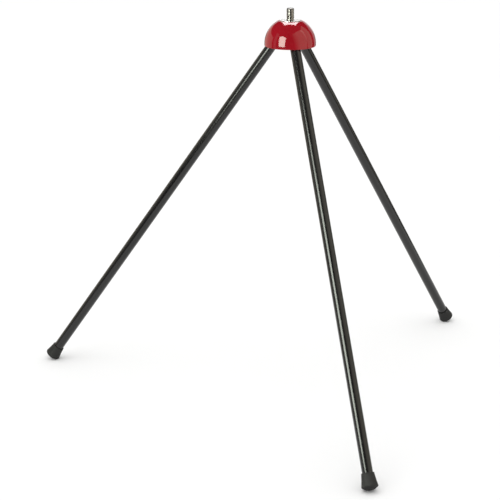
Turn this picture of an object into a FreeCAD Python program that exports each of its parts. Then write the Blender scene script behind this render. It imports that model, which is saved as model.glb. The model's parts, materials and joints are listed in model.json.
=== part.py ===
import FreeCAD, Part
import math
import os

import Sketcher

# Folding tripod stand: a pressed dome covers a three-way hinge hub, a threaded stud on its crown
# takes the load, and three tubular legs swing from the hub and lean on the dome's rim when open.
# Frame: +Z up, origin on the floor under the stud's axis, front leg towards -Y. Millimetres.

DRIVING = {
    # dome, seat and stud (heights are above the dome's rim)
    "dome_dia": 63.5,
    "dome_wall": 1.0,
    "skirt_rise": 2.7,
    "crown_rise": 30.8,
    "crown_bend": 1.5,
    "crown_hole_dia": 10.2,
    "rim_round": 0.3,
    "disc_dia": 25.4,
    "disc_thick": 0.8,
    "disc_chamfer": 0.2,
    "disc_countersink": 0.6,
    "stud_dia": 9.525,
    "stud_reach": 14.6,
    "stud_chamfer": 1.0,
    "stud_pitch_dia": 8.494,
    "stud_foot_rise": 12.4,
    # hub, its nut and spring washer
    "hub_dia": 27.0,
    "hub_web": 8.0,
    "hub_well_dia": 18.0,
    "arm_width": 15.2,
    "arm_inner": 6.0,
    "arm_shoulder": 15.0,
    "arm_top_rise": 26.0,
    "cheek_round": 7.0,
    "cheek_straight": 2.0,
    "slot_width": 7.6,
    "hub_edge_round": 1.0,
    "washer_dia": 16.5,
    "washer_bore_dia": 9.8,
    "washer_thick": 2.2,
    "washer_split": 1.6,
    "nut_flats": 14.2875,
    "nut_thick": 5.6,
    "nut_bevel_margin": 1.0,
    # leg hinge
    "splay_angle": 35.0,
    "pivot_radius": 13.0,
    "pivot_rise": 13.65,
    "bolt_dia": 5.0,
    "bolt_head_dia": 8.5,
    "bolt_head_thick": 2.6,
    "bolt_crown_dia": 3.8,
    "bolt_button_dia": 7.0,
    "bolt_button_deep": 0.8,
    "bolt_edge_deep": 1.95,
    "bolt_socket_flats": 3.0,
    "bolt_socket_deep": 1.6,
    "bolt_tip": 0.8,
    "bolt_chamfer": 0.5,
    "locknut_flats": 8.0,
    "locknut_hex_thick": 3.6,
    "locknut_thick": 5.0,
    "locknut_collar_dia": 7.2,
    "locknut_ease": 0.6,
    "thrust_washer_dia": 9.0,
    "thrust_washer_thick": 0.7,
    "hinge_bore_dia": 5.1,
    "tongue_thick": 6.0,
    "eye_dia": 10.0,
    "shoulder_start": 8.0,
    "shoulder_ease": 0.5,
    "tube_start": 9.5,
    "spigot_dia": 10.2,
    "spigot_end": 31.0,
    "spigot_ease": 0.8,
    "plug_pin_dia": 3.0,
    "plug_pin_bore": 1.8,
    "plug_pin_proud": 0.2,
    "plug_pin_slot": 0.6,
    "plug_pin_place": 14.5,
    # leg tube
    "tube_dia": 12.7,
    "tube_wall": 1.2,
    "tube_end": 552.2,
    # rubber foot
    "mouth_place": 540.7,
    "mouth_dia": 15.1,
    "mouth_flare": 0.5,
    "mouth_flare_deep": 1.5,
    "base_dia": 19.5,
    "foot_body": 16.0,
    "sole_rise": 4.0,
    "sole_edge": 0.5,
    "sole_groove_dia": 9.0,
    "sole_groove_width": 1.2,
    "sole_groove_deep": 0.8,
    "foot_washer_dia": 12.5,
    "foot_washer_thick": 1.2,
}

LEGS = {"front": -90.0, "right": 30.0, "left": 150.0}  # direction of each leg round Z, degrees

doc = FreeCAD.newDocument("TripodStand")
sheet = doc.addObject("Spreadsheet::Sheet", "Sheet")
for row, (alias, number) in enumerate(DRIVING.items(), start=1):
    sheet.set("A%d" % row, alias)
    sheet.set("B%d" % row, str(number))
    sheet.setAlias("B%d" % row, alias)
doc.recompute()


class Size:
    """A length that carries both its value and the expression that ties it to the sheet."""

    def __init__(self, value, text):
        self.value = value
        self.text = text

    def joined(self, other, sign, value):
        return Size(value, "(%s %s %s)" % (self.text, sign, size(other).text))

    def __add__(self, other):
        return self.joined(other, "+", self.value + size(other).value)

    def __sub__(self, other):
        return self.joined(other, "-", self.value - size(other).value)

    def __mul__(self, other):
        return self.joined(other, "*", self.value * size(other).value)

    def __truediv__(self, other):
        return self.joined(other, "/", self.value / size(other).value)


def size(what):
    """A Size from a Size, a plain number or the name of a driving dimension."""
    if isinstance(what, Size):
        return what
    if isinstance(what, str):
        return Size(DRIVING[what], "Sheet." + what)
    return Size(float(what), repr(float(what)))


def half(what):
    return size(what) / 2


ZERO = size(0)
ROOT3 = math.sqrt(3.0)

FINISHED = []  # every sub-part's body, in the order it is made


def bind(thing, place, what):
    """Tie one property or constraint of an object to the sheet."""
    thing.setExpression(place, size(what).text)


def new_body(label):
    body = doc.addObject("PartDesign::Body", label)
    body.Label = label
    FINISHED.append(body)
    return body


def plane_of(body, role):
    return next(f for f in body.Origin.OriginFeatures if f.Role == role)


def new_sketch(body, name, role, lift=None):
    """An empty sketch on one of the body's own origin planes, lifted along that plane's normal."""
    sketch = body.newObject("Sketcher::SketchObject", name)
    sketch.AttachmentSupport = (plane_of(body, role), [""])
    sketch.MapMode = "FlatFace"
    if lift is not None:
        bind(sketch, "AttachmentOffset.Base.z", lift)
    return sketch


def hold(sketch, kind, edge, end, what, axis):
    """Fix one coordinate of a point: on the axis itself when it is zero, else at a bound distance."""
    if what is ZERO:
        sketch.addConstraint(Sketcher.Constraint("PointOnObject", edge, end, axis))
        return
    index = sketch.addConstraint(Sketcher.Constraint(kind, -1, 1, edge, end, what.value))
    bind(sketch, "Constraints[%d]" % index, what)


def hold_x(sketch, edge, end, x):
    hold(sketch, "DistanceX", edge, end, x, -2)


def hold_y(sketch, edge, end, y):
    hold(sketch, "DistanceY", edge, end, y, -1)


def point(corner):
    return FreeCAD.Vector(corner[0].value, corner[1].value, 0)


def outline(sketch, corners, arcs=None):
    """A closed outline through corners, a list of (x, y). Side n runs from corner n to corner n + 1.

    arcs maps a side's number to (centre, bulge, hold_end): the side is then an arc round the centre
    that passes on the bulge point's side, and hold_end fixes the one free coordinate of its end.
    """
    arcs = arcs or {}
    corners = [(size(x), size(y)) for x, y in corners]
    count = len(corners)
    ends = []
    for side in range(count):
        start, finish = point(corners[side]), point(corners[(side + 1) % count])
        if side not in arcs:
            edge = sketch.addGeometry(Part.LineSegment(start, finish), False)
            ends.append((edge, 1, 2))
            continue
        centre, bulge, _ = arcs[side]
        middle = point(centre)
        top = (bulge - middle).normalize() * (start - middle).Length + middle
        edge = sketch.addGeometry(Part.Arc(start, top, finish), False)
        hold_x(sketch, edge, 3, centre[0])
        hold_y(sketch, edge, 3, centre[1])
        to_first = (sketch.getPoint(edge, 1) - start).Length
        to_second = (sketch.getPoint(edge, 2) - start).Length
        ends.append((edge, 1, 2) if to_first < to_second else (edge, 2, 1))
    for side in range(count):
        edge, _, last = ends[side]
        following, first, _ = ends[(side + 1) % count]
        sketch.addConstraint(Sketcher.Constraint("Coincident", edge, last, following, first))
    for number, (x, y) in enumerate(corners):
        edge, first, _ = ends[number]
        arc = arcs.get((number - 1) % count)
        if arc is None or arc[2] is hold_x:
            hold_x(sketch, edge, first, x)
        if arc is None or arc[2] is hold_y:
            hold_y(sketch, edge, first, y)


def ring(sketch, radius, x=ZERO, y=ZERO):
    """A full circle with its centre held at (x, y)."""
    centre = FreeCAD.Vector(x.value, y.value, 0)
    edge = sketch.addGeometry(Part.Circle(centre, FreeCAD.Vector(0, 0, 1), size(radius).value), False)
    if x is ZERO and y is ZERO:
        sketch.addConstraint(Sketcher.Constraint("Coincident", edge, 3, -1, 1))
    else:
        hold_x(sketch, edge, 3, x)
        hold_y(sketch, edge, 3, y)
    index = sketch.addConstraint(Sketcher.Constraint("Radius", edge, size(radius).value))
    bind(sketch, "Constraints[%d]" % index, radius)


def box_outline(sketch, x0, x1, y0, y1):
    outline(sketch, [(x0, y0), (x1, y0), (x1, y1), (x0, y1)])


def hexagon(sketch, flats):
    """A regular hexagon with flats facing +X and -X."""
    near, corner = size(flats) / 2, size(flats) / ROOT3
    step = corner / 2
    outline(sketch, [
        (near, step), (ZERO, corner), (ZERO - near, step),
        (ZERO - near, ZERO - step), (ZERO, ZERO - corner), (near, ZERO - step),
    ])


def spun(body, sketch, cut=False):
    """Turn an outline on the XZ plane round the body's Z axis."""
    kind = "PartDesign::Groove" if cut else "PartDesign::Revolution"
    feature = body.newObject(kind, sketch.Name + ("_groove" if cut else "_turn"))
    feature.Profile = sketch
    feature.ReferenceAxis = (sketch, ["V_Axis"])
    feature.Angle = 360.0
    sketch.Visibility = False
    doc.recompute()
    return feature


def raised(body, sketch, length, both_ways=False):
    pad = body.newObject("PartDesign::Pad", sketch.Name + "_pad")
    pad.Profile = sketch
    bind(pad, "Length", length)
    pad.Midplane = both_ways
    doc.recompute()
    return pad


def sunk(body, sketch, length, both_ways=False, backwards=False):
    """Cut an outline into the body, and stop if nothing was removed."""
    before = body.Shape.Volume
    pocket = body.newObject("PartDesign::Pocket", sketch.Name + "_pocket")
    pocket.Profile = sketch
    bind(pocket, "Length", length)
    pocket.Midplane = both_ways
    pocket.Reversed = backwards
    doc.recompute()
    if body.Shape.Volume > before - 1e-6:
        raise RuntimeError("%s: %s cuts nothing" % (body.Label, sketch.Name))
    return pocket


def three_times(body, feature):
    """Repeat a feature at 120 degree steps round the body's Z axis."""
    pattern = body.newObject("PartDesign::PolarPattern", feature.Name + "_x3")
    pattern.Originals = [feature]
    pattern.Axis = (plane_of(body, "Z_Axis"), [""])
    pattern.Angle = 360.0
    pattern.Occurrences = 3
    body.Tip = pattern
    doc.recompute()
    return pattern


def eased(body, base, kind, amount, wanted):
    """Fillet or chamfer the edges of base that the test wanted(edge) picks."""
    names = ["Edge%d" % (i + 1) for i, e in enumerate(base.Shape.Edges) if wanted(e)]
    if not names:
        raise RuntimeError("%s: no edge to ease" % body.Label)
    feature = body.newObject("PartDesign::" + kind, base.Name + "_" + kind.lower())
    feature.Base = (base, names)
    bind(feature, "Radius" if kind == "Fillet" else "Size", amount)
    body.Tip = feature
    doc.recompute()
    return feature


def circle_at(edge, radius, height):
    """True for a full circle round Z with this radius at this height."""
    curve = edge.Curve
    if not isinstance(curve, Part.Circle):
        return False
    centre = curve.Center
    return (abs(curve.Radius - radius) < 0.01 and abs(centre.z - height) < 0.01
            and abs(centre.x) + abs(centre.y) < 0.01)


# ---------------------------------------------------------------- places worked out from the sizes
SPLAY = math.radians(DRIVING["splay_angle"])
BASE_RADIUS = DRIVING["base_dia"] / 2
SOLE_RADIUS = (BASE_RADIUS ** 2 + DRIVING["sole_rise"] ** 2) / (2 * DRIVING["sole_rise"])
SOLE_CENTRE = DRIVING["mouth_place"] + DRIVING["foot_body"] + DRIVING["sole_rise"] - SOLE_RADIUS
# The legs stand on the round of their soles, which sets how high the dome's rim is.
PIVOT_HEIGHT = SOLE_CENTRE * math.cos(SPLAY) + SOLE_RADIUS
RIM_HEIGHT = PIVOT_HEIGHT - DRIVING["pivot_rise"]

Z_AXIS = FreeCAD.Vector(0, 0, 1)
Y_AXIS = FreeCAD.Vector(0, 1, 0)
X_AXIS = FreeCAD.Vector(1, 0, 0)


def on_head(turn=0.0):
    """Placement of a head piece: its own origin is on the stud's axis in the plane of the rim."""
    return FreeCAD.Placement(FreeCAD.Vector(0, 0, RIM_HEIGHT), FreeCAD.Rotation(Z_AXIS, turn))


def pivot_of(direction):
    angle = math.radians(direction)
    reach = DRIVING["pivot_radius"]
    return FreeCAD.Vector(reach * math.cos(angle), reach * math.sin(angle), PIVOT_HEIGHT)


def on_leg(direction):
    """Placement of a leg piece: origin at the pivot, own +Z down the leg, own Y along the hinge."""
    lean = FreeCAD.Rotation(Y_AXIS, 180.0 - DRIVING["splay_angle"])
    return FreeCAD.Placement(pivot_of(direction), FreeCAD.Rotation(Z_AXIS, direction) * lean)


def on_hinge(direction):
    """Placement of a hinge bolt or nut: origin at the pivot, own +Z along the hinge's axis."""
    along = FreeCAD.Rotation(X_AXIS, -90.0)
    return FreeCAD.Placement(pivot_of(direction), FreeCAD.Rotation(Z_AXIS, direction) * along)


# ---------------------------------------------------------------- head
def make_dome():
    """Pressed steel dome: a short straight skirt, part of a sphere, and a flat crown with a hole."""
    body = new_body("dome_shell")
    outer, wall = half("dome_dia"), size("dome_wall")
    inner = outer - wall
    skirt, crown = size("skirt_rise"), size("crown_rise")
    hole = half("crown_hole_dia")
    flat_outer = math.sqrt(outer.value ** 2 - (crown - skirt).value ** 2)
    flat_inner = math.sqrt(inner.value ** 2 - (crown - wall - skirt).value ** 2)
    bulge = FreeCAD.Vector(outer.value, outer.value, 0)
    sketch = new_sketch(body, "dome_section", "XZ_Plane")
    outline(sketch, [
        (inner, ZERO), (outer, ZERO), (outer, skirt), (size(flat_outer), crown), (hole, crown),
        (hole, crown - wall), (size(flat_inner), crown - wall), (inner, skirt),
    ], {2: ((ZERO, skirt), bulge, hold_y), 6: ((ZERO, skirt), bulge, hold_y)})
    turn = spun(body, sketch)
    bend = eased(body, turn, "Fillet", "crown_bend",
                 lambda e: circle_at(e, flat_outer, crown.value))
    eased(body, bend, "Fillet", "rim_round",
          lambda e: circle_at(e, outer.value, 0) or circle_at(e, inner.value, 0))
    body.Placement = on_head()


def make_seat_disc():
    """Round plate nut: it clamps the dome to the hub and is the face that the load sits on."""
    body = new_body("seat_disc")
    outer, bore, ease = half("disc_dia"), half("stud_pitch_dia"), size("disc_chamfer")
    sink = size("disc_countersink")
    low = size("crown_rise")
    high = low + "disc_thick"
    sketch = new_sketch(body, "disc_section", "XZ_Plane")
    outline(sketch, [
        (bore, low), (outer, low), (outer, high - ease), (outer - ease, high),
        (bore + sink, high), (bore, high - sink),
    ])
    spun(body, sketch)
    body.Placement = on_head()


def make_stud():
    """Mounting stud: the thread's outside size where it stands out, its pitch size in its nuts."""
    body = new_body("mounting_stud")
    outer, root, ease = half("stud_dia"), half("stud_pitch_dia"), size("stud_chamfer")
    seat = size("crown_rise") + "disc_thick"
    top = seat + "stud_reach"
    foot = size("stud_foot_rise")
    sketch = new_sketch(body, "stud_section", "XZ_Plane")
    outline(sketch, [
        (ZERO, foot), (root - ease, foot), (root, foot + ease), (root, seat), (outer, seat),
        (outer, top - ease), (outer - ease, top), (ZERO, top),
    ])
    spun(body, sketch)
    body.Placement = on_head()


def make_hub():
    """Cast hub: a crown plate with three forked arms, open in the middle for the stud's nut."""
    body = new_body("leg_hub")
    crown_low = size("crown_rise") - "dome_wall" - "hub_web"
    plate = new_sketch(body, "hub_plate", "XY_Plane", crown_low)
    ring(plate, half("hub_dia"))
    raised(body, plate, "hub_web")

    pivot_x, pivot_z, cheek = size("pivot_radius"), size("pivot_rise"), size("cheek_round")
    inner, shoulder, top = size("arm_inner"), size("arm_shoulder"), size("arm_top_rise")
    below = FreeCAD.Vector(pivot_x.value, 0, 0)
    arm = new_sketch(body, "hub_arm", "XZ_Plane")
    outline(arm, [
        (pivot_x + cheek, pivot_z), (pivot_x + cheek, pivot_z + "cheek_straight"), (shoulder, top),
        (inner, top), (inner, pivot_z),
    ], {4: ((pivot_x, pivot_z), below, hold_y)})
    three_times(body, raised(body, arm, "arm_width", both_ways=True))

    slot = new_sketch(body, "hub_slot", "XZ_Plane")
    box_outline(slot, ZERO, pivot_x + cheek * 2, ZERO, crown_low)
    three_times(body, sunk(body, slot, "slot_width", both_ways=True))

    well = new_sketch(body, "hub_well", "XY_Plane")
    ring(well, half("hub_well_dia"))
    sunk(body, well, crown_low, backwards=True)

    bore = new_sketch(body, "hub_bore", "XY_Plane")
    ring(bore, half("crown_hole_dia"))
    sunk(body, bore, "crown_rise", backwards=True)

    pins = new_sketch(body, "hub_pin_hole", "XZ_Plane")
    ring(pins, half("bolt_dia"), pivot_x, pivot_z)
    holes = three_times(body, sunk(body, pins, size("arm_width") * 2, both_ways=True))

    plate_top = (size("crown_rise") - "dome_wall").value
    eased(body, holes, "Fillet", "hub_edge_round",
          lambda e: circle_at(e, DRIVING["hub_dia"] / 2, plate_top))
    body.Placement = on_head(LEGS["front"])


def make_spring_washer():
    """Split spring washer between the hub and its nut."""
    body = new_body("spring_washer")
    high = size("crown_rise") - "dome_wall" - "hub_web"
    low = high - "washer_thick"
    sketch = new_sketch(body, "washer_section", "XZ_Plane")
    box_outline(sketch, half("washer_bore_dia"), half("washer_dia"), low, high)
    spun(body, sketch)
    split = new_sketch(body, "washer_split", "XZ_Plane")
    box_outline(split, ZERO, size("washer_dia"), low - 1, high + 1)
    sunk(body, split, "washer_split", both_ways=True)
    body.Placement = on_head(60.0)


def make_hub_nut():
    """Thin hexagon nut on the stud's lower end, its flats square to the legs."""
    body = new_body("hub_nut")
    high = size("crown_rise") - "dome_wall" - "hub_web" - "washer_thick"
    low = high - "nut_thick"
    hex_sketch = new_sketch(body, "nut_hexagon", "XY_Plane", low)
    hexagon(hex_sketch, "nut_flats")
    raised(body, hex_sketch, "nut_thick")
    bore = new_sketch(body, "nut_bore", "XY_Plane")
    ring(bore, half("stud_pitch_dia"))
    sunk(body, bore, high + 1, backwards=True)
    # The bevel is a cone at 30 degrees that starts on the circle inside the hexagon.
    flat, beyond = half("nut_flats"), size("nut_flats") / ROOT3 + "nut_bevel_margin"
    bevel = new_sketch(body, "nut_bevel", "XZ_Plane")
    outline(bevel, [(flat, low), (beyond, low), (beyond, low + (beyond - flat) / ROOT3)])
    spun(body, bevel, cut=True)
    body.Placement = on_head(LEGS["front"])


def make_pivot_bolt(name, direction):
    """Hinge bolt: button head with a hexagon socket, shank through both cheeks and the lock nut."""
    body = new_body("pivot_bolt_" + name)
    shank, head, ease = half("bolt_dia"), half("bolt_head_dia"), size("bolt_chamfer")
    crown, button = half("bolt_crown_dia"), half("bolt_button_dia")
    face = half("arm_width")
    low = ZERO - face - "bolt_head_thick"
    tip = face + "locknut_thick" + "bolt_tip"
    sketch = new_sketch(body, "bolt_section", "XZ_Plane")
    outline(sketch, [
        (ZERO, low), (crown, low), (button, low + "bolt_button_deep"),
        (head, low + "bolt_edge_deep"), (head, ZERO - face), (shank, ZERO - face),
        (shank, tip - ease), (shank - ease, tip), (ZERO, tip),
    ])
    spun(body, sketch)
    socket = new_sketch(body, "bolt_socket", "XY_Plane", low)
    hexagon(socket, "bolt_socket_flats")
    sunk(body, socket, "bolt_socket_deep", backwards=True)
    body.Placement = on_hinge(direction)


def make_pivot_nut(name, direction):
    """Lock nut of a hinge bolt: a hexagon with a round collar that holds the locking ring."""
    body = new_body("pivot_nut_" + name)
    face = half("arm_width")
    hex_sketch = new_sketch(body, "locknut_hexagon", "XY_Plane", face)
    hexagon(hex_sketch, "locknut_flats")
    raised(body, hex_sketch, "locknut_hex_thick")
    collar, ease = half("locknut_collar_dia"), size("locknut_ease")
    top = face + "locknut_thick"
    section = new_sketch(body, "locknut_collar", "XZ_Plane")
    outline(section, [
        (ZERO, face + 1), (collar, face + 1), (collar, top - ease), (collar - ease, top), (ZERO, top),
    ])
    spun(body, section)
    bore = new_sketch(body, "locknut_bore", "XY_Plane", face)
    ring(bore, half("bolt_dia"))
    sunk(body, bore, size("locknut_thick") + 1, backwards=True)
    body.Placement = on_hinge(direction)


# ---------------------------------------------------------------- legs
def make_hinge_plug(name, direction):
    """Plug in the tube's top end, with the flat tongue and eye that hang on the hinge bolt."""
    body = new_body("hinge_plug_" + name)
    eye, start, tube = half("eye_dia"), size("shoulder_start"), half("tube_dia")
    ease, tip = size("shoulder_ease"), size("spigot_ease")
    tongue = new_sketch(body, "plug_tongue", "XZ_Plane")
    outline(tongue, [
        (eye, ZERO), (eye, start + ease), (ZERO - eye, start + ease), (ZERO - eye, ZERO),
    ], {3: ((ZERO, ZERO), FreeCAD.Vector(0, -eye.value, 0), hold_y)})
    raised(body, tongue, "tongue_thick", both_ways=True)
    spigot, tail = half("spigot_dia"), size("spigot_end")
    section = new_sketch(body, "plug_section", "XZ_Plane")
    outline(section, [
        (ZERO, start), (tube - ease, start), (tube, start + ease), (tube, "tube_start"),
        (spigot, "tube_start"), (spigot, tail - tip), (spigot - tip, tail), (ZERO, tail),
    ])
    spun(body, section)
    eye_bore = new_sketch(body, "plug_eye_bore", "XZ_Plane")
    ring(eye_bore, half("hinge_bore_dia"))
    sunk(body, eye_bore, size("tongue_thick") * 2, both_ways=True)
    pin_bore = new_sketch(body, "plug_pin_bore", "XZ_Plane")
    ring(pin_bore, half("plug_pin_dia"), ZERO, size("plug_pin_place"))
    sunk(body, pin_bore, size("tube_dia") * 2, both_ways=True)
    body.Placement = on_leg(direction)


def make_thrust_washers(name, direction):
    """Two plastic washers, one each side of the tongue, that keep the hinge snug in its fork."""
    body = new_body("thrust_washers_" + name)
    inside = half("tongue_thick")
    first = new_sketch(body, "washer_face", "XZ_Plane", inside)
    ring(first, half("thrust_washer_dia"))
    ring(first, half("hinge_bore_dia"))
    pad = raised(body, first, "thrust_washer_thick")
    mirror = body.newObject("PartDesign::Mirrored", "washer_pair")
    mirror.Originals = [pad]
    mirror.MirrorPlane = (plane_of(body, "XZ_Plane"), [""])
    body.Tip = mirror
    doc.recompute()
    body.Placement = on_leg(direction)


def make_plug_pin(name, direction):
    """Slotted spring pin that locks the plug in the tube, its ends just proud of the tube's wall."""
    body = new_body("plug_pin_" + name)
    outer, bore = half("plug_pin_dia"), half("plug_pin_bore")
    reach = half("tube_dia") + "plug_pin_proud"
    place = size("plug_pin_place")
    face = new_sketch(body, "pin_face", "XZ_Plane")
    ring(face, outer, ZERO, place)
    ring(face, bore, ZERO, place)
    raised(body, face, reach * 2, both_ways=True)
    slit = new_sketch(body, "pin_slit", "XZ_Plane")
    width = half("plug_pin_slot")
    box_outline(slit, ZERO - width, width, place, place + outer * 2)
    sunk(body, slit, reach * 3, both_ways=True)
    body.Placement = on_leg(direction)


def make_leg_tube(name, direction):
    """Leg: one straight round tube, cross-drilled near the top for the spring pin."""
    body = new_body("leg_tube_" + name)
    outer = half("tube_dia")
    section = new_sketch(body, "tube_section", "XZ_Plane")
    box_outline(section, outer - "tube_wall", outer, size("tube_start"), size("tube_end"))
    spun(body, section)
    cross = new_sketch(body, "tube_pin_hole", "XZ_Plane")
    ring(cross, half("plug_pin_dia"), ZERO, size("plug_pin_place"))
    sunk(body, cross, size("tube_dia") * 2, both_ways=True)
    body.Placement = on_leg(direction)


def make_foot_washer(name, direction):
    """Steel disc in the bottom of the foot's socket, which stops the tube cutting the rubber."""
    body = new_body("foot_washer_" + name)
    section = new_sketch(body, "foot_washer_section", "XZ_Plane")
    start = size("tube_end")
    box_outline(section, ZERO, half("foot_washer_dia"), start, start + "foot_washer_thick")
    spun(body, section)
    body.Placement = on_leg(direction)


def make_foot(name, direction):
    """Rubber foot: a flared tip pushed over the tube, with a rounded sole and one ring groove."""
    body = new_body("rubber_foot_" + name)
    socket, mouth, base = half("tube_dia"), half("mouth_dia"), half("base_dia")
    flare, edge = size("mouth_flare"), size("sole_edge")
    top = size("mouth_place")
    shoulder = top + "foot_body"
    bottom = shoulder + "sole_rise"
    centre = (ZERO, size(SOLE_CENTRE))
    floor = size("tube_end") + "foot_washer_thick"
    rim = SOLE_CENTRE + math.sqrt(SOLE_RADIUS ** 2 - (base - edge).value ** 2)
    section = new_sketch(body, "foot_section", "XZ_Plane")
    outline(section, [
        (ZERO, bottom), (ZERO, floor), (socket, floor), (socket, top + "mouth_flare_deep"),
        (socket + flare, top), (mouth, top), (base, shoulder - edge), (base - edge, size(rim)),
    ], {7: (centre, FreeCAD.Vector(base.value / 2, bottom.value, 0), hold_x)})
    spun(body, section)
    groove_in = half("sole_groove_dia")
    groove_out = groove_in + "sole_groove_width"
    cut = new_sketch(body, "sole_groove", "XZ_Plane")
    depth = bottom - size("sole_groove_deep") - (SOLE_RADIUS - math.sqrt(
        SOLE_RADIUS ** 2 - groove_in.value ** 2))
    box_outline(cut, groove_in, groove_out, depth, bottom)
    spun(body, cut, cut=True)
    body.Placement = on_leg(direction)


make_dome()
make_seat_disc()
make_stud()
make_hub()
make_spring_washer()
make_hub_nut()
for leg_name, leg_direction in LEGS.items():
    make_pivot_bolt(leg_name, leg_direction)
    make_pivot_nut(leg_name, leg_direction)
for leg_name, leg_direction in LEGS.items():
    make_hinge_plug(leg_name, leg_direction)
    make_thrust_washers(leg_name, leg_direction)
    make_plug_pin(leg_name, leg_direction)
    make_leg_tube(leg_name, leg_direction)
    make_foot_washer(leg_name, leg_direction)
    make_foot(leg_name, leg_direction)

doc.recompute()
for thing in doc.Objects:
    if "Invalid" in thing.State or "Error" in thing.State:
        raise RuntimeError("%s (%s) failed: %s" % (thing.Label, thing.Name, thing.State))

os.makedirs("parts", exist_ok=True)
for body in FINISHED:
    shape = body.Shape
    if shape.isNull() or not shape.isValid():
        raise RuntimeError(body.Label + " has no valid shape")
    shape.exportStep("parts/%s.step" % body.Label)
    print("%-22s solids %d  volume %10.1f mm3" % (body.Label, len(shape.Solids), shape.Volume))
print("rim height %.3f, pivot height %.3f, seat height %.3f, stud top %.3f" % (
    RIM_HEIGHT, PIVOT_HEIGHT, RIM_HEIGHT + DRIVING["crown_rise"] + DRIVING["disc_thick"],
    RIM_HEIGHT + DRIVING["crown_rise"] + DRIVING["disc_thick"] + DRIVING["stud_reach"]))
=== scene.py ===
import json
import math

import bpy
from mathutils import Matrix, Vector


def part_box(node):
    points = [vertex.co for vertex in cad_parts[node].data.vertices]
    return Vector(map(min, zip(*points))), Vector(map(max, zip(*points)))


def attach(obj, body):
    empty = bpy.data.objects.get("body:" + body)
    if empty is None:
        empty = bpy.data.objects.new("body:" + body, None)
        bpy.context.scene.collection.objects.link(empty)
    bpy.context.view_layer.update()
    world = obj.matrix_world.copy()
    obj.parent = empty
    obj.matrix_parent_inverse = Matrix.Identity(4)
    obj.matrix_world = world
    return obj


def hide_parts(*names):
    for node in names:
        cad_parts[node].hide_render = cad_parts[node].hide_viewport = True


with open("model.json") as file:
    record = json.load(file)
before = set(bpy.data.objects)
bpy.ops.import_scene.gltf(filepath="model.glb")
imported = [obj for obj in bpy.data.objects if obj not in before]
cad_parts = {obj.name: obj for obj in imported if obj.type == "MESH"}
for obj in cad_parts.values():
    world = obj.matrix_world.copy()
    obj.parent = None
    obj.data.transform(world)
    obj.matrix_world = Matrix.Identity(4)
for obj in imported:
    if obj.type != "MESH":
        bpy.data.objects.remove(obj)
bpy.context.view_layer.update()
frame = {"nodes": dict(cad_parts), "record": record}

record = frame["record"]
MM = 0.001

# ---------------------------------------------------------------- small sizes the boxes don't give
DOME_WALL = 1.0 * MM
SKIRT_RISE = 2.7 * MM  # height of the straight skirt under the dome's curve
CROWN_BEND = 1.5 * MM  # outside radius of the bend between the curve and the flat crown
CROWN_HOLE_RADIUS = 5.1 * MM
THREAD_PITCH = 25.4 / 16 * MM
THREAD_DEPTH = 0.5 * MM  # about half as deep as a true 3/8-16 thread
TUBE_WALL = 1.2 * MM
MOUTH_RADIUS = 7.55 * MM  # the foot's outside at its mouth
FOOT_BODY = 16.0 * MM
SOLE_RISE = 4.0 * MM  # how far the domed sole stands below the foot's widest edge

# ---------------------------------------------------------------- places taken from the frame
LEGS = ("front", "right", "left")
joints = {joint["name"]: joint for joint in record["behaviour"]["joints"]}
mounts = {mount["name"]: mount for mount in record["mounts"]}
SPLAY = math.radians(joints["fold_front"]["range_deg"][1])
PIVOT_HEIGHT = joints["fold_front"]["pos_m"][2]

dome_low, dome_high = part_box("dome_shell")
disc_low, disc_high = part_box("seat_disc")
stud_low, stud_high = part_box("mounting_stud")
tube_low, tube_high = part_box("leg_tube_front")
foot_low, foot_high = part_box("rubber_foot_front")

RIM = dome_low[2]
CROWN = dome_high[2]
SEAT = disc_high[2]
DOME_RADIUS = (dome_high[0] - dome_low[0]) / 2
DISC_RADIUS = (disc_high[0] - disc_low[0]) / 2
STUD_RADIUS = mounts["stud"]["dims"]["r_mm"] * MM
TUBE_RADIUS = (tube_high[0] - tube_low[0]) / 2
FOOT_RADIUS = (foot_high[0] - foot_low[0]) / 2

# Distances down a leg from its hinge, read off the boxes of the tilted tube and foot.
TUBE_START = (PIVOT_HEIGHT + TUBE_RADIUS * math.sin(SPLAY) - tube_high[2]) / math.cos(SPLAY)
TUBE_END = (PIVOT_HEIGHT - TUBE_RADIUS * math.sin(SPLAY) - tube_low[2]) / math.cos(SPLAY)
FOOT_MOUTH = (PIVOT_HEIGHT + MOUTH_RADIUS * math.sin(SPLAY) - foot_high[2]) / math.cos(SPLAY)


# ---------------------------------------------------------------- mesh helpers
def new_object(name, verts, faces, place=None):
    """A smooth-shaded mesh piece in the scene, at the stated place."""
    mesh = bpy.data.meshes.new(name)
    mesh.from_pydata(verts, [], faces)
    mesh.update()
    mesh.shade_smooth()
    piece = bpy.data.objects.new(name, mesh)
    bpy.context.scene.collection.objects.link(piece)
    if place is not None:
        piece.matrix_world = place
    return piece


def arc(centre, radius, start, finish, steps):
    """Points of an arc in the (radius, height) plane, angles in degrees from the outward direction."""
    points = []
    for step in range(steps + 1):
        angle = math.radians(start + (finish - start) * step / steps)
        points.append((centre[0] + radius * math.cos(angle), centre[1] + radius * math.sin(angle)))
    return points


def run(start, finish, steps):
    """Points of a straight run, both ends included, closer together towards the ends."""
    points = []
    for step in range(steps + 1):
        share = (1 - math.cos(math.pi * step / steps)) / 2
        points.append(tuple(a + (b - a) * share for a, b in zip(start, finish)))
    return points


def without_repeats(points):
    """The same outline without repeated points."""
    kept = []
    for point in points:
        if not kept or math.dist(point, kept[-1]) > 1e-7:
            kept.append(point)
    if math.dist(kept[0], kept[-1]) < 1e-7:
        kept.pop()
    return kept


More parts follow.
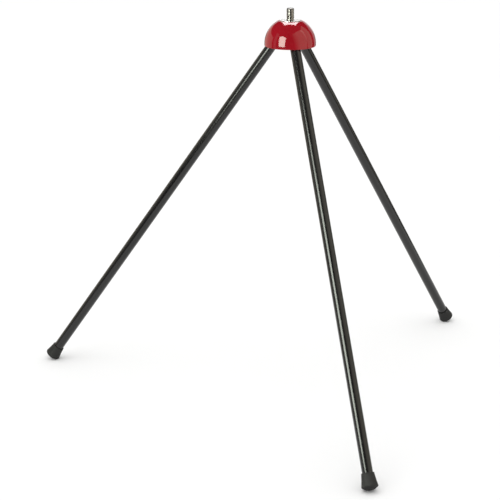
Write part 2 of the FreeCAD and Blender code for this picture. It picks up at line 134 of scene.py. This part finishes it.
def turned(name, outline, segments=192, place=None, closed=True, swell=None):
    """A solid of revolution round Z. The outline runs up the outside; its ends are closed by the axis
    or, for a ring, by joining the last point to the first. swell(angle, r, z) adds to the radius."""
    outline = without_repeats(outline)
    verts, rows = [], []
    for radius, height in outline:
        if radius < 1e-7:
            rows.append([len(verts)] * segments)
            verts.append((0.0, 0.0, height))
            continue
        rows.append([])
        for segment in range(segments):
            angle = 2 * math.pi * segment / segments
            extra = swell(angle, radius, height) if swell else 0.0
            rows[-1].append(len(verts))
            verts.append(((radius + extra) * math.cos(angle), (radius + extra) * math.sin(angle), height))
    faces = []
    pairs = list(zip(rows, rows[1:]))
    if closed:
        pairs.append((rows[-1], rows[0]))
    for low, high in pairs:
        for segment in range(segments):
            after = (segment + 1) % segments
            corners = [low[segment], low[after], high[after], high[segment]]
            face = []
            for corner in corners:
                if corner not in face:
                    face.append(corner)
            if len(face) > 2:
                faces.append(face)
    return new_object(name, verts, faces, place)


# ---------------------------------------------------------------- material helpers
class Shading:
    """A new node material with one Principled shader, and short ways to wire it."""

    def __init__(self, name):
        self.material = bpy.data.materials.new(name)
        self.material.use_nodes = True
        self.tree = self.material.node_tree
        self.shader = self.tree.nodes["Principled BSDF"]
        self.coords = self.tree.nodes.new("ShaderNodeTexCoord").outputs["Object"]

    def set(self, **values):
        """Constants on the shader's own sockets, named with underscores for spaces."""
        for name, value in values.items():
            self.shader.inputs[name.replace("_", " ")].default_value = value

    def link(self, source, target):
        self.tree.links.new(source, target)

    def stretched(self, scale):
        """The piece's own coordinates, scaled along each axis."""
        node = self.tree.nodes.new("ShaderNodeMapping")
        node.inputs["Scale"].default_value = scale
        self.link(self.coords, node.inputs["Vector"])
        return node.outputs["Vector"]

    def noise(self, scale, detail=3.0, roughness=0.5, stretch=None):
        node = self.tree.nodes.new("ShaderNodeTexNoise")
        node.inputs["Scale"].default_value = scale
        node.inputs["Detail"].default_value = detail
        node.inputs["Roughness"].default_value = roughness
        self.link(self.stretched(stretch) if stretch else self.coords, node.inputs["Vector"])
        return node.outputs["Fac"]

    def cells(self, scale):
        node = self.tree.nodes.new("ShaderNodeTexVoronoi")
        node.inputs["Scale"].default_value = scale
        self.link(self.coords, node.inputs["Vector"])
        return node.outputs["Distance"]

    def remap(self, value, low, high, to_low, to_high):
        node = self.tree.nodes.new("ShaderNodeMapRange")
        node.inputs["From Min"].default_value = low
        node.inputs["From Max"].default_value = high
        node.inputs["To Min"].default_value = to_low
        node.inputs["To Max"].default_value = to_high
        self.link(value, node.inputs["Value"])
        return node.outputs["Result"]

    def blend(self, factor, first, second):
        node = self.tree.nodes.new("ShaderNodeMix")
        node.data_type = "RGBA"
        self.link(factor, node.inputs["Factor"])
        for socket, colour in ((node.inputs[6], first), (node.inputs[7], second)):
            if isinstance(colour, tuple):
                socket.default_value = colour + (1.0,)
            else:
                self.link(colour, socket)
        return node.outputs[2]

    def tones(self, field, low, high, first, second):
        """From the first colour where the field is low to the second where it is high."""
        return self.blend(self.remap(field, low, high, 0.0, 1.0), first, second)

    def math(self, operation, first, second=None):
        node = self.tree.nodes.new("ShaderNodeMath")
        node.operation = operation
        for socket, value in zip(node.inputs, (first, second)):
            if isinstance(value, (int, float)):
                socket.default_value = value
            elif value is not None:
                self.link(value, socket)
        return node.outputs[0]

    def radial(self):
        """Distance from the piece's own Z axis."""
        split = self.tree.nodes.new("ShaderNodeSeparateXYZ")
        self.link(self.coords, split.inputs[0])
        square = self.math("ADD", self.math("MULTIPLY", split.outputs[0], split.outputs[0]),
                           self.math("MULTIPLY", split.outputs[1], split.outputs[1]))
        return self.math("SQRT", square)

    def bump(self, height, strength, distance):
        node = self.tree.nodes.new("ShaderNodeBump")
        node.inputs["Strength"].default_value = strength
        node.inputs["Distance"].default_value = distance
        self.link(height, node.inputs["Height"])
        return node.outputs["Normal"]

    def finish(self, colour, roughness=None, normal=None):
        self.link(colour, self.shader.inputs["Base Color"])
        if roughness is not None:
            self.link(roughness, self.shader.inputs["Roughness"])
        if normal is not None:
            self.link(normal, self.shader.inputs["Normal"])
        return self.material


def paint(piece, material):
    """Give a piece its one material."""
    piece.data.materials.clear()
    piece.data.materials.append(material)


# ---------------------------------------------------------------- materials
def red_enamel():
    """Deep red gloss enamel under clear coat, with faint orange peel and a little dust."""
    s = Shading("red_enamel")
    cloud = s.noise(45.0, 4.0)
    colour = s.tones(cloud, 0.35, 0.65, (0.29, 0.0065, 0.012), (0.335, 0.008, 0.0155))
    dust = s.remap(s.noise(900.0, 2.0), 0.66, 0.74, 0.0, 0.12)
    colour = s.blend(dust, colour, (0.5, 0.08, 0.08))
    roughness = s.remap(s.noise(220.0, 3.0), 0.3, 0.7, 0.06, 0.1)
    peel = s.bump(s.noise(420.0, 1.0), 0.05, 0.0002)
    return s.finish(colour, roughness, peel)


def black_coating():
    """Semi-gloss black coating on the tubes: fine texture and faint rubs along the leg."""
    s = Shading("black_coating")
    s.set(Specular_IOR_Level=0.5)
    rubs = s.noise(60.0, 5.0, 0.6, stretch=(6.0, 6.0, 0.25))
    colour = s.tones(rubs, 0.35, 0.7, (0.006, 0.0057, 0.0055), (0.012, 0.0112, 0.0105))
    roughness = s.remap(rubs, 0.3, 0.7, 0.15, 0.24)
    grain = s.bump(s.noise(2200.0, 2.0), 0.12, 0.0001)
    return s.finish(colour, roughness, grain)


def foot_rubber():
    """Matt moulded black rubber with a fine grain and a pale bloom of dust."""
    s = Shading("foot_rubber")
    s.set(Specular_IOR_Level=0.4)
    bloom = s.noise(160.0, 5.0, 0.6)
    colour = s.tones(bloom, 0.4, 0.75, (0.007, 0.007, 0.0065), (0.017, 0.0165, 0.0155))
    roughness = s.remap(bloom, 0.3, 0.7, 0.55, 0.75)
    grain = s.bump(s.noise(1500.0, 3.0), 0.35, 0.0002)
    return s.finish(colour, roughness, grain)


def turned_steel():
    """Bright plated steel with fine lathe rings."""
    ring_spacing = 0.35 * MM
    s = Shading("turned_steel")
    s.set(Metallic=1.0)
    rings = s.math("SINE", s.math("MULTIPLY", s.radial(), 2 * math.pi / ring_spacing))
    tone = s.noise(300.0, 4.0)
    colour = s.tones(tone, 0.3, 0.7, (0.58, 0.58, 0.56), (0.68, 0.68, 0.66))
    roughness = s.remap(s.noise(150.0, 4.0), 0.3, 0.7, 0.2, 0.32)
    return s.finish(colour, roughness, s.bump(rings, 0.02, 0.0001))


def rolled_thread():
    """Plated steel of the rolled thread, with painted shade: its colour runs dark in the roots and bright
    on the crests.
    """
    s = Shading("rolled_thread")
    s.set(Metallic=1.0)
    root = STUD_RADIUS - THREAD_DEPTH
    # Painted shade: the base colour darkens from the crest radius down to the root radius.
    colour = s.tones(s.radial(), root, STUD_RADIUS, (0.16, 0.15, 0.14), (0.56, 0.54, 0.51))
    roughness = s.remap(s.noise(400.0, 3.0), 0.3, 0.7, 0.18, 0.32)
    return s.finish(colour, roughness, s.bump(s.noise(1500.0, 2.0), 0.1, 0.0001))


def plated_steel():
    """Zinc plate on hidden washers, nuts and pins."""
    s = Shading("plated_steel")
    s.set(Metallic=1.0)
    spangle = s.cells(500.0)
    colour = s.tones(spangle, 0.1, 0.8, (0.50, 0.50, 0.50), (0.62, 0.62, 0.60))
    roughness = s.remap(s.noise(350.0, 3.0), 0.3, 0.7, 0.28, 0.42)
    return s.finish(colour, roughness, s.bump(s.noise(1800.0, 2.0), 0.1, 0.0001))


def black_casting():
    """Satin black paint over a sand-textured casting."""
    s = Shading("black_casting")
    skin = s.noise(700.0, 4.0, 0.6)
    colour = s.tones(skin, 0.35, 0.7, (0.03, 0.03, 0.032), (0.06, 0.06, 0.061))
    roughness = s.remap(s.noise(120.0, 4.0), 0.3, 0.7, 0.42, 0.6)
    return s.finish(colour, roughness, s.bump(skin, 0.5, 0.0003))


def black_oxide():
    """Oiled black oxide on the hinge bolts and nuts."""
    s = Shading("black_oxide")
    s.set(Metallic=0.9)
    tone = s.noise(260.0, 4.0)
    colour = s.tones(tone, 0.35, 0.7, (0.11, 0.11, 0.115), (0.19, 0.185, 0.18))
    roughness = s.remap(tone, 0.3, 0.7, 0.3, 0.45)
    return s.finish(colour, roughness, s.bump(s.noise(1600.0, 2.0), 0.1, 0.0001))


def moulded_nylon(name, dark, light):
    """Moulded plastic with a fine matt grain."""
    s = Shading(name)
    grain = s.noise(1300.0, 3.0)
    colour = s.tones(s.noise(90.0, 3.0), 0.35, 0.7, dark, light)
    roughness = s.remap(grain, 0.3, 0.7, 0.42, 0.58)
    return s.finish(colour, roughness, s.bump(grain, 0.25, 0.0002))


# ---------------------------------------------------------------- head
def make_dome(material):
    """The pressed dome as one closed shell, turned up the outside and back down the inside."""
    inner = DOME_RADIUS - DOME_WALL
    centre = (0.0, RIM + SKIRT_RISE)
    lip = DOME_WALL / 2
    outline = arc((DOME_RADIUS - lip, RIM + lip), lip, -180, 0, 12)
    outline += run((DOME_RADIUS, RIM + lip), (DOME_RADIUS, RIM + SKIRT_RISE), 5)
    # The bend's small arc touches the crown from below and the big arc from inside.
    drop = CROWN - CROWN_BEND - centre[1]
    reach = math.sqrt((DOME_RADIUS - CROWN_BEND) ** 2 - drop ** 2)
    turn = math.degrees(math.atan2(drop, reach))
    outline += arc(centre, DOME_RADIUS, 0, turn, 64)
    outline += arc((reach, CROWN - CROWN_BEND), CROWN_BEND, turn, 90, 10)
    outline += run((reach, CROWN), (CROWN_HOLE_RADIUS, CROWN), 6)
    low = CROWN - DOME_WALL
    tight = CROWN_BEND - DOME_WALL
    outline += run((CROWN_HOLE_RADIUS, low), (reach, low), 6)
    outline += arc((reach, CROWN - CROWN_BEND), tight, 90, turn, 6)
    outline += arc(centre, inner, turn, 0, 48)
    outline += run((inner, RIM + SKIRT_RISE), (inner, RIM + lip), 4)
    dome = turned("dome", outline, 256)
    paint(dome, material)
    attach(dome, "head")
    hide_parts("dome_shell")


def make_seat(material):
    """The bright disc under the load, with a broken edge, a raised outer land and a countersunk hole."""
    ease, land, sink = 0.2 * MM, 0.06 * MM, 0.3 * MM
    bore = STUD_RADIUS - 0.1 * MM  # inside the thread's crests, so no gap shows round the stud
    land_edge, floor_edge = 0.84 * DISC_RADIUS, 0.82 * DISC_RADIUS
    bottom, floor = disc_low[2], SEAT - land
    outline = [(bore, bottom), (DISC_RADIUS - ease, bottom)]
    outline += arc((DISC_RADIUS - ease, bottom + ease), ease, -90, 0, 4)
    outline += arc((DISC_RADIUS - ease, SEAT - ease), ease, 0, 90, 6)
    outline += run((DISC_RADIUS - ease, SEAT), (land_edge, SEAT), 4)
    outline += run((floor_edge, floor), (bore + sink, floor), 6)
    outline += [(bore, floor - sink)]
    disc = turned("seat", outline, 192)
    paint(disc, material)
    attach(disc, "head")
    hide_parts("seat_disc")


def make_stud(material):
    """The 3/8 in stud with its real helical thread all the way down and a coned start at each end."""
    around, per_turn = 128, 16
    cone = 1.0 * MM
    root_share, flank_share = 0.2, 0.5  # of half a pitch; the crest has the rest
    low, top = stud_low[2], stud_high[2]
    rows = int(round((top - low) / THREAD_PITCH * per_turn))
    verts, faces = [], []
    for row in range(rows + 1):
        height = low + (top - low) * row / rows
        to_end = min(height - low, top - height)
        for segment in range(around):
            angle = 2 * math.pi * segment / around
            phase = ((height - low) / THREAD_PITCH - segment / around) % 1.0
            rise = min(1.0, max(0.0, (abs(phase - 0.5) * 2 - root_share) / flank_share))
            radius = STUD_RADIUS - THREAD_DEPTH * (1 - rise)
            radius = min(radius, STUD_RADIUS - cone + to_end)
            verts.append((radius * math.cos(angle), radius * math.sin(angle), height))
    for row in range(rows):
        for segment in range(around):
            after = (segment + 1) % around
            a, b = row * around, (row + 1) * around
            faces.append((a + segment, a + after, b + after, b + segment))
    for level, row, flip in ((low, 0, True), (top, rows, False)):
        hub = len(verts)
        verts.append((0.0, 0.0, level))
        for segment in range(around):
            a = row * around + segment
            b = row * around + (segment + 1) % around
            faces.append((hub, b, a) if flip else (hub, a, b))
    stud = new_object("stud", verts, faces)
    stud.data.set_sharp_from_angle(angle=math.radians(50))
    paint(stud, material)
    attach(stud, "head")
    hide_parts("mounting_stud")


# ---------------------------------------------------------------- legs
SEAM_HEIGHT = 0.12 * MM
SEAM_SPREAD = 0.28 * MM


def leg_place(name):
    """A leg's own frame: origin at the hinge, Z down the leg, Y along the hinge."""
    joint = joints["fold_" + name]
    hinge = Vector(joint["axis"]).normalized()
    outward = hinge.cross(Vector((0, 0, 1)))
    down = outward * math.sin(SPLAY) - Vector((0, 0, 1)) * math.cos(SPLAY)
    side = hinge.cross(down)
    place = Matrix((side, hinge, down)).transposed().to_4x4()
    place.translation = Vector(joint["pos_m"])
    return place


def make_tube(name, material):
    """A round tube with a real bore, its outside rounded at the top end and bevelled at the foot."""
    ease = 0.3 * MM
    bore = TUBE_RADIUS - TUBE_WALL
    outline = arc((TUBE_RADIUS - ease, TUBE_START + ease), ease, -90, 0, 5)
    outline += run((TUBE_RADIUS, TUBE_START + ease), (TUBE_RADIUS, TUBE_END - ease), 24)
    outline += [(TUBE_RADIUS - ease, TUBE_END), (bore, TUBE_END)]
    outline += run((bore, TUBE_END), (bore, TUBE_START), 12)
    tube = turned("tube_" + name, outline, 128, leg_place(name))
    paint(tube, material)
    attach(tube, "leg_" + name)
    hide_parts("leg_tube_" + name)


def mould_line(angle, radius, height):
    """The thin raised seam that the two mould halves leave on opposite sides of a foot."""
    inside_mouth = TUBE_RADIUS + 0.5 * MM
    if radius < inside_mouth:
        return 0.0
    away = math.asin(abs(math.sin(angle))) * radius
    return SEAM_HEIGHT * math.exp(-(away / SEAM_SPREAD) ** 2)


def make_foot(name, material):
    """The flared rubber tip: rounded mouth, slightly hollow flare, and a domed sole with two grooves."""
    base = FOOT_RADIUS + 0.1 * MM
    mouth, shoulder = FOOT_MOUTH, FOOT_MOUTH + FOOT_BODY
    lip, corner = 0.45 * MM, 0.5 * MM
    sole_radius = (FOOT_RADIUS ** 2 + SOLE_RISE ** 2) / (2 * SOLE_RISE)
    sole_centre = shoulder + SOLE_RISE - sole_radius

    def on_sole(radius):
        return radius, sole_centre + math.sqrt(sole_radius ** 2 - radius ** 2)

    # Inside, up the tube's side to the mouth, which opens a little, and round the lip.
    hidden, straight, bell, opening = 6 * MM, 2 * MM, 1.5 * MM, 0.35 * MM
    outline = [(TUBE_RADIUS, mouth + hidden), (TUBE_RADIUS, mouth + straight)]
    outline += run((TUBE_RADIUS, mouth + bell), (TUBE_RADIUS + opening, mouth + lip * 0.6), 4)
    outline += arc((MOUTH_RADIUS - lip, mouth + lip), lip, -150, 0, 8)

    # The flare, slightly hollow half way, to the rounded widest edge.
    steps, hollow = 24, 0.18 * MM
    for step in range(1, steps + 1):
        share = step / steps
        flare = MOUTH_RADIUS + (base - MOUTH_RADIUS) * share - hollow * math.sin(math.pi * share)
        outline.append((flare, mouth + lip + (FOOT_BODY - lip - corner) * share))
    outline += arc((base - corner, shoulder - corner * 0.9), corner, 0, 45, 6)

    # The domed sole, from the edge to the middle, with its round grooves.
    half_width, depth, floor_share = 0.6 * MM, 0.7 * MM, 0.8
    edge = base - corner * 1.2
    for ring in (0.78, 0.46):
        centre = ring * base
        outer, inner = centre + half_width, centre - half_width
        floor = on_sole(centre)[1] - depth
        outline += [on_sole(edge + (outer - edge) * step / 6) for step in range(7)]
        outline += [(centre + half_width * floor_share, floor), (centre - half_width * floor_share, floor)]
        outline += [on_sole(inner)]
        edge = inner
    outline += [on_sole(edge * (1 - step / 8)) for step in range(1, 9)]
    foot = turned("foot_" + name, outline, 256, leg_place(name), closed=False, swell=mould_line)
    paint(foot, material)
    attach(foot, "leg_" + name)
    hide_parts("rubber_foot_" + name)


def dress(node, material, edge):
    """Keep a CAD node's shape and give it a material and softly broken edges, edge millimetres wide."""
    piece = frame["nodes"][node]
    piece.data.materials.clear()
    piece.data.materials.append(material)
    bevel = piece.modifiers.new("broken_edges", "BEVEL")
    bevel.width = edge * MM
    bevel.segments = 2
    bevel.limit_method = "ANGLE"
    bevel.angle_limit = math.radians(40)


# ---------------------------------------------------------------- build
enamel, coating, rubber = red_enamel(), black_coating(), foot_rubber()
plate, casting, oxide = plated_steel(), black_casting(), black_oxide()
black_nylon = moulded_nylon("black_nylon", (0.024, 0.024, 0.024), (0.042, 0.042, 0.042))
pale_nylon = moulded_nylon("pale_nylon", (0.62, 0.61, 0.56), (0.72, 0.71, 0.66))

make_dome(enamel)
make_seat(turned_steel())
make_stud(rolled_thread())
for leg in LEGS:
    make_tube(leg, coating)
    make_foot(leg, rubber)
dress("leg_hub", casting, 0.4)
dress("spring_washer", plate, 0.15)
dress("hub_nut", plate, 0.2)
for leg in LEGS:
    dress("pivot_bolt_" + leg, oxide, 0.15)
    dress("pivot_nut_" + leg, oxide, 0.15)
    dress("hinge_plug_" + leg, black_nylon, 0.3)
    dress("thrust_washers_" + leg, pale_nylon, 0.1)
    dress("plug_pin_" + leg, plate, 0.08)
    dress("foot_washer_" + leg, plate, 0.1)


# ---------------------------------------------------------------- studio
CAMERA_SIDE = -106.2  # direction from the head to the camera, degrees from +X towards +Y


def make_floor():
    """A pale floor in two flush pieces. Only the near one shows in shiny surfaces."""
    s = Shading("studio_floor")
    colour = s.blend(s.noise(3.0), (0.90, 0.90, 0.895), (0.92, 0.92, 0.915))
    s.set(Roughness=0.9, Specular_IOR_Level=0.1)
    material = s.finish(colour)
    near, far, around = 0.9, 20.0, 96
    turns = [2 * math.pi * k / around for k in range(around)]
    rim = [(math.cos(turn), math.sin(turn)) for turn in turns]
    inner = [(near * x, near * y, 0.0) for x, y in rim]
    outer = [(far * x, far * y, 0.0) for x, y in rim]
    ring = [(k, around + k, around + (k + 1) % around, (k + 1) % around) for k in range(around)]
    near_floor = new_object("near_floor", inner, [tuple(range(around))])
    far_floor = new_object("far_floor", inner + outer, ring)
    far_floor.visible_glossy = False
    for floor in (near_floor, far_floor):
        floor.data.materials.append(material)


def lamp(name, data, azimuth, elevation, distance):
    """Hang a light round the head and aim it there. Azimuth is counted from +X towards +Y."""
    piece = bpy.data.objects.new(name, data)
    bpy.context.scene.collection.objects.link(piece)
    a, e = math.radians(azimuth), math.radians(elevation)
    away = Vector((math.cos(a) * math.cos(e), math.sin(a) * math.cos(e), math.sin(e)))
    piece.location = Vector((0, 0, RIM)) + away * distance
    piece.rotation_mode = "QUATERNION"
    piece.rotation_quaternion = away.to_track_quat("Z", "Y")
    piece.visible_camera = False
    return piece


def softbox(name, sides, heights, distance, radiance, colour):
    """A rectangular softbox that fills the stated angles as seen from the head, in degrees.
    Sides are counted from the camera's direction, plus to its right."""
    data = bpy.data.lights.new(name, "AREA")
    data.shape = "RECTANGLE"
    data.size = 2 * distance * math.tan(math.radians(sides[1] - sides[0]) / 2)
    data.size_y = 2 * distance * math.tan(math.radians(heights[1] - heights[0]) / 2)
    data.energy = radiance * math.pi * data.size * data.size_y
    data.color = colour
    box = lamp(name, data, CAMERA_SIDE + sum(sides) / 2, sum(heights) / 2, distance)
    box.visible_diffuse = False


def make_studio():
    """A white room and a broad light that shade the object, and softboxes that only gloss shows."""
    white = (1.0, 1.0, 1.0)
    pale_green, cream = (0.94, 1.0, 0.89), (1.0, 0.95, 0.8)
    world = bpy.data.worlds.new("studio")
    bpy.context.scene.world = world
    world.use_nodes = True
    background = world.node_tree.nodes["Background"]
    background.inputs["Color"].default_value = white + (1.0,)
    background.inputs["Strength"].default_value = 1.0
    world.cycles_visibility.glossy = False
    sun = bpy.data.lights.new("broad_light", "SUN")
    sun.energy = 0.5
    sun.angle = math.radians(60)
    lamp("broad_light", sun, CAMERA_SIDE - 40, 62, 5.0).visible_glossy = False

    softbox("left_window", (-52, -23), (-7, 35), 0.9, 12.5, pale_green)
    softbox("left_strip", (-80, -66), (-16, 40), 2.2, 0.4, white)
    softbox("left_wall", (-156, -90), (-16, 22), 2.4, 0.85, cream)
    # Four overlapping panels, so that the wall's near edge fades in steps.
    for edge in (20, 27, 34, 42):
        softbox("right_wall_%d" % edge, (edge, 84), (-16, 57), 2.6, 0.25, cream)
    softbox("right_end", (84, 118), (-16, 54), 2.2, 0.85, cream)
    softbox("back_wall", (156, 204), (-2, 24), 2.4, 0.95, white)
    softbox("back_right", (134, 156), (-16, 24), 2.4, 0.6, white)
    softbox("overhead", (162, 199), (40, 79), 1.8, 13.0, white)
    softbox("from_below", (-50, 50), (-125, -55), 0.5, 0.9, white)


def make_camera():
    """A long lens from a little above the head, turned slightly off the front leg."""
    data = bpy.data.cameras.new("camera")
    data.sensor_width, data.lens = 36.0, 113.6
    data.clip_start, data.clip_end = 0.05, 60.0
    camera = bpy.data.objects.new("camera", data)
    bpy.context.scene.collection.objects.link(camera)
    # It stands round from the front leg by the heading, and looks past the head by the aside angle.
    heading, distance, rise = math.radians(-16.22), 1.9316, 0.3537
    aside, tilt, roll = math.radians(-1.483), math.radians(17.764), math.radians(-0.108)
    camera.location = (distance * math.sin(heading), -distance * math.cos(heading), RIM + rise)
    # A camera looks down its own -Z, so it is tipped up from straight down and then panned.
    tip = Matrix.Rotation(math.pi / 2 - tilt, 4, "X")
    level = Matrix.Rotation(roll, 4, "Z")
    turn = Matrix.Rotation(heading - aside, 4, "Z")
    camera.rotation_euler = (turn @ tip @ level).to_euler()
    bpy.context.scene.camera = camera


make_floor()
make_studio()
make_camera()
bpy.context.scene.view_settings.view_transform = "Standard"
